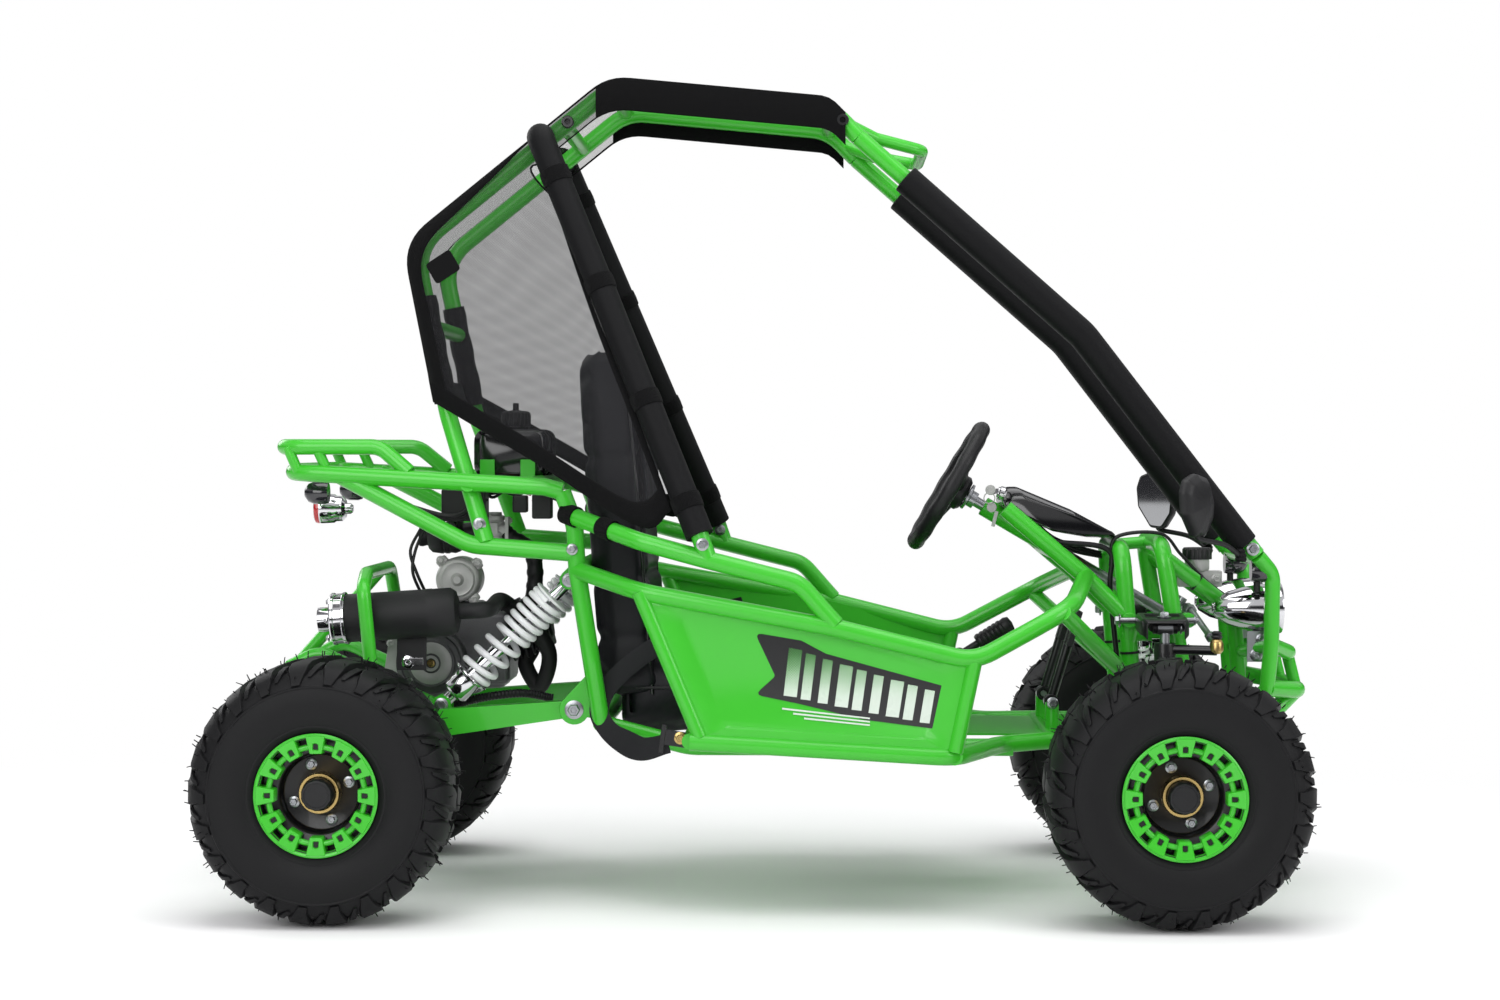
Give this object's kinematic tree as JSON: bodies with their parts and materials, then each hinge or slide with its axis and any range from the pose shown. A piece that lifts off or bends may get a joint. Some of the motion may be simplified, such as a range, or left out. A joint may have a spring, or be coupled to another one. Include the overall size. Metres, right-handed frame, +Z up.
{
  "type": "off road go kart",
  "caption": "Off road go kart with a tubular frame, roll cage and mesh canopy, luggage rack, rear swing arm engine cradle, double wishbone front end and steerable front wheels.",
  "frame": {"origin": "on the ground, midway between the rearmost tyre and the front bumper, in the middle plane", "axes": "+X forwards, +Y to the driver's left, +Z up"},
  "size_m": [1.7475, 0.993, 1.319],
  "materials": {
    "green_paint": "gloss powder coat",
    "black_paint": "satin",
    "black_plastic": "satin",
    "foam": "matt foam skin",
    "vinyl": "soft sheen",
    "mesh_cloth": "open mesh",
    "tyre_rubber": "matt",
    "zinc": "zinc plated",
    "chrome": "polished",
    "white_paint": "gloss",
    "cast_metal": "cast",
    "heat_black": "heat proof matt",
    "gloss_black": "polished"
  },
  "bodies": {
    "chassis": {"rear_frame": "green_paint", "floor_frame": "green_paint", "front_frame": "green_paint", "side_rail_right": "green_paint", "side_rail_left": "green_paint", "roll_cage": "green_paint", "front_tube_right": "green_paint", "front_tube_left": "green_paint", "front_sleeve_right": "foam", "front_sleeve_left": "foam", "rear_pillar_right": "foam", "rear_pillar_left": "foam", "side_panel_right": "green_paint", "side_panel_left": "green_paint", "canopy": "mesh_cloth", "seat_back": "vinyl", "seat_base": "vinyl", "fuel_tank": "gloss_black", "dash_cowl": "gloss_black", "headlight_right": "chrome", "headlight_left": "chrome", "tail_light": "chrome", "front_shock_right": "white_paint", "front_shock_left": "white_paint"},
    "fuel_cap": {"fuel_cap": "black_plastic"},
    "steering": {"steering_wheel": "foam", "steering_shaft": "zinc"},
    "tie_rods": {"tie_rod_right": "zinc", "tie_rod_left": "zinc"},
    "upper_arm_right": {"upper_arm_right": "black_paint"},
    "lower_arm_right": {"lower_arm_right": "green_paint"},
    "kingpin_right": {"kingpin_right": "zinc"},
    "knuckle_right": {"knuckle_right": "zinc"},
    "front_wheel_right": {"front_tyre_right": "tyre_rubber", "front_rim_right": "black_paint"},
    "upper_arm_left": {"upper_arm_left": "black_paint"},
    "lower_arm_left": {"lower_arm_left": "green_paint"},
    "kingpin_left": {"kingpin_left": "zinc"},
    "knuckle_left": {"knuckle_left": "zinc"},
    "front_wheel_left": {"front_tyre_left": "tyre_rubber", "front_rim_left": "black_paint"},
    "swing_arm": {"swing_arm": "green_paint", "engine": "cast_metal", "muffler": "heat_black"},
    "rear_axle": {"rear_axle": "zinc", "rear_rim_right": "black_paint", "rear_rim_left": "black_paint", "rear_tyre_right": "tyre_rubber", "rear_tyre_left": "tyre_rubber"},
    "rear_shock_upper_right": {"rear_shock_rod_right": "chrome", "rear_spring_right": "white_paint"},
    "rear_shock_lower_right": {"rear_shock_body_right": "chrome"},
    "rear_shock_upper_left": {"rear_shock_rod_left": "chrome", "rear_spring_left": "white_paint"},
    "rear_shock_lower_left": {"rear_shock_body_left": "chrome"},
    "throttle": {"throttle_pedal": "black_paint"},
    "brake": {"brake_pedal": "black_paint"},
    "gear_lever": {"gear_lever": "black_plastic"},
    "mirror_right": {"mirror_right": "black_plastic"},
    "mirror_left": {"mirror_left": "black_plastic"}
  },
  "joints": [
    {"name": "steering_turn", "type": "hinge", "parent": "chassis", "child": "steering", "pos_m": [0.29856, 0, 0.663], "axis": [0.8613, 0, -0.5082], "range_deg": [-45, 45]},
    {"name": "tie_rods_slide", "type": "slide", "parent": "chassis", "child": "tie_rods", "axis": [0, 1, 0], "range_m": [-0.0237, 0.0237]},
    {"name": "lower_arm_right_travel", "type": "hinge", "parent": "chassis", "child": "lower_arm_right", "pos_m": [0.6285, -0.157, 0.168], "axis": [-1, 0, 0], "range_deg": [-11, 11], "stiffness_Nm_per_rad": 160, "springref_deg": -6.88, "deforming": ["front_shock_right"]},
    {"name": "upper_arm_right_travel", "type": "hinge", "parent": "chassis", "child": "upper_arm_right", "pos_m": [0.6285, -0.157, 0.449], "axis": [-1, 0, 0], "range_deg": [-11.1, 11.1]},
    {"name": "kingpin_right_upright", "type": "hinge", "parent": "lower_arm_right", "child": "kingpin_right", "pos_m": [0.6285, -0.232, 0.161], "axis": [-1, 0, 0], "range_deg": [-11.1, 11.1]},
    {"name": "knuckle_right_steer", "type": "hinge", "parent": "kingpin_right", "child": "knuckle_right", "pos_m": [0.6285, -0.232, 0.3], "axis": [0, 0, 1], "range_deg": [-17.6, 17.6]},
    {"name": "front_wheel_right_roll", "type": "hinge", "parent": "knuckle_right", "child": "front_wheel_right", "pos_m": [0.6285, -0.395, 0.203], "axis": [0, 1, 0], "continuous": true},
    {"name": "lower_arm_left_travel", "type": "hinge", "parent": "chassis", "child": "lower_arm_left", "pos_m": [0.6285, 0.157, 0.168], "axis": [1, 0, 0], "range_deg": [-11, 11], "stiffness_Nm_per_rad": 160, "springref_deg": -6.88, "deforming": ["front_shock_left"]},
    {"name": "upper_arm_left_travel", "type": "hinge", "parent": "chassis", "child": "upper_arm_left", "pos_m": [0.6285, 0.157, 0.449], "axis": [1, 0, 0], "range_deg": [-11.1, 11.1]},
    {"name": "kingpin_left_upright", "type": "hinge", "parent": "lower_arm_left", "child": "kingpin_left", "pos_m": [0.6285, 0.232, 0.161], "axis": [1, 0, 0], "range_deg": [-11.1, 11.1]},
    {"name": "knuckle_left_steer", "type": "hinge", "parent": "kingpin_left", "child": "knuckle_left", "pos_m": [0.6285, 0.232, 0.3], "axis": [0, 0, 1], "range_deg": [-17.6, 17.6]},
    {"name": "front_wheel_left_roll", "type": "hinge", "parent": "knuckle_left", "child": "front_wheel_left", "pos_m": [0.6285, 0.395, 0.203], "axis": [0, 1, 0], "continuous": true},
    {"name": "swing_arm_travel", "type": "hinge", "parent": "chassis", "child": "swing_arm", "pos_m": [-0.30555, 0, 0.30875], "axis": [0, 1, 0], "range_deg": [-4, 5], "stiffness_Nm_per_rad": 3000, "springref_deg": -4.01},
    {"name": "rear_axle_roll", "type": "hinge", "parent": "swing_arm", "child": "rear_axle", "pos_m": [-0.6715, 0, 0.203], "axis": [0, 1, 0], "continuous": true},
    {"name": "rear_shock_right_swing", "type": "hinge", "parent": "chassis", "child": "rear_shock_upper_right", "pos_m": [-0.31751, -0.15, 0.51298], "axis": [0, 1, 0], "range_deg": [-2.3, 2.8]},
    {"name": "rear_shock_right_stroke", "type": "slide", "parent": "rear_shock_upper_right", "child": "rear_shock_lower_right", "axis": [0.7159, 0, 0.6982], "range_m": [-0.0112, 0.0139], "deforming": ["rear_spring_right"]},
    {"name": "rear_shock_left_swing", "type": "hinge", "parent": "chassis", "child": "rear_shock_upper_left", "pos_m": [-0.31751, 0.15, 0.51298], "axis": [0, 1, 0], "range_deg": [-2.3, 2.8]},
    {"name": "rear_shock_left_stroke", "type": "slide", "parent": "rear_shock_upper_left", "child": "rear_shock_lower_left", "axis": [0.7159, 0, 0.6982], "range_m": [-0.0112, 0.0139], "deforming": ["rear_spring_left"]},
    {"name": "throttle_press", "type": "hinge", "parent": "chassis", "child": "throttle", "pos_m": [0.4621, -0.078, 0.312], "axis": [0, 1, 0], "range_deg": [0, 18], "stiffness_Nm_per_rad": 3, "springref_deg": -17.19},
    {"name": "brake_press", "type": "hinge", "parent": "chassis", "child": "brake", "pos_m": [0.4621, 0.078, 0.312], "axis": [0, 1, 0], "range_deg": [0, 18], "stiffness_Nm_per_rad": 3, "springref_deg": -17.19},
    {"name": "gear_lever_shift", "type": "hinge", "parent": "chassis", "child": "gear_lever", "pos_m": [0.32248, 0.1, 0.37401], "axis": [0, 1, 0], "range_deg": [-8, 10]},
    {"name": "mirror_right_turn", "type": "hinge", "parent": "chassis", "child": "mirror_right", "pos_m": [0.7533, -0.1907, 0.5525], "axis": [0, 0, 1], "range_deg": [-2, 12]},
    {"name": "mirror_left_turn", "type": "hinge", "parent": "chassis", "child": "mirror_left", "pos_m": [0.7533, 0.1907, 0.5525], "axis": [0, 0, 1], "range_deg": [-12, 2]},
    {"name": "fuel_cap_screw", "type": "hinge", "parent": "chassis", "child": "fuel_cap", "pos_m": [-0.4206, 0, 0.8], "axis": [0, 0, 1], "continuous": true}
  ],
  "couplings": [
    {"joint": "tie_rods_slide", "follows": "steering_turn", "m_per_rad": -0.03},
    {"joint": "upper_arm_right_travel", "follows": "lower_arm_right_travel", "ratio": 1},
    {"joint": "kingpin_right_upright", "follows": "lower_arm_right_travel", "ratio": -1},
    {"joint": "knuckle_right_steer", "follows": "steering_turn", "ratio": -0.3896},
    {"joint": "rear_shock_right_swing", "follows": "swing_arm_travel", "ratio": 0.535},
    {"joint": "rear_shock_right_stroke", "follows": "swing_arm_travel", "m_per_rad": 0.155},
    {"joint": "upper_arm_left_travel", "follows": "lower_arm_left_travel", "ratio": 1},
    {"joint": "kingpin_left_upright", "follows": "lower_arm_left_travel", "ratio": -1},
    {"joint": "knuckle_left_steer", "follows": "steering_turn", "ratio": -0.3896},
    {"joint": "rear_shock_left_swing", "follows": "swing_arm_travel", "ratio": 0.535},
    {"joint": "rear_shock_left_stroke", "follows": "swing_arm_travel", "m_per_rad": 0.155}
  ]
}
